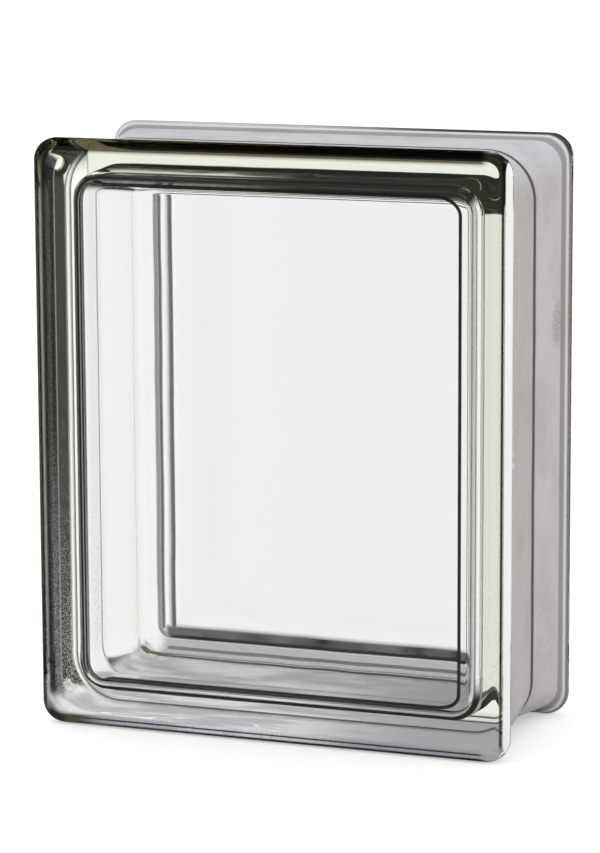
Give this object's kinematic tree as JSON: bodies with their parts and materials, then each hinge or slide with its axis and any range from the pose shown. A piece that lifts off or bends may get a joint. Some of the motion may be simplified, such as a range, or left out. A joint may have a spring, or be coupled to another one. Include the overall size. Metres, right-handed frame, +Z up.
{
  "type": "glass block",
  "caption": "Hollow clear glass building block: pressed half shells fused at a mid-depth seam, with wide flat faces, projecting rims and a keyed, coated edge for mortar.",
  "frame": {"origin": "middle of the underside, on the plane of the two bottom rims, at the seam", "axes": "+X along the width, -Y out of the front face, +Z up along the height"},
  "size_m": [0.19, 0.085, 0.228],
  "materials": {
    "glass": "clear pressed soda-lime glass, fire polished, with a sprayed matt grey-white coat on the edge between the rims"
  },
  "bodies": {
    "root": {"front_half": "glass", "rear_half": "glass"}
  },
  "joints": []
}
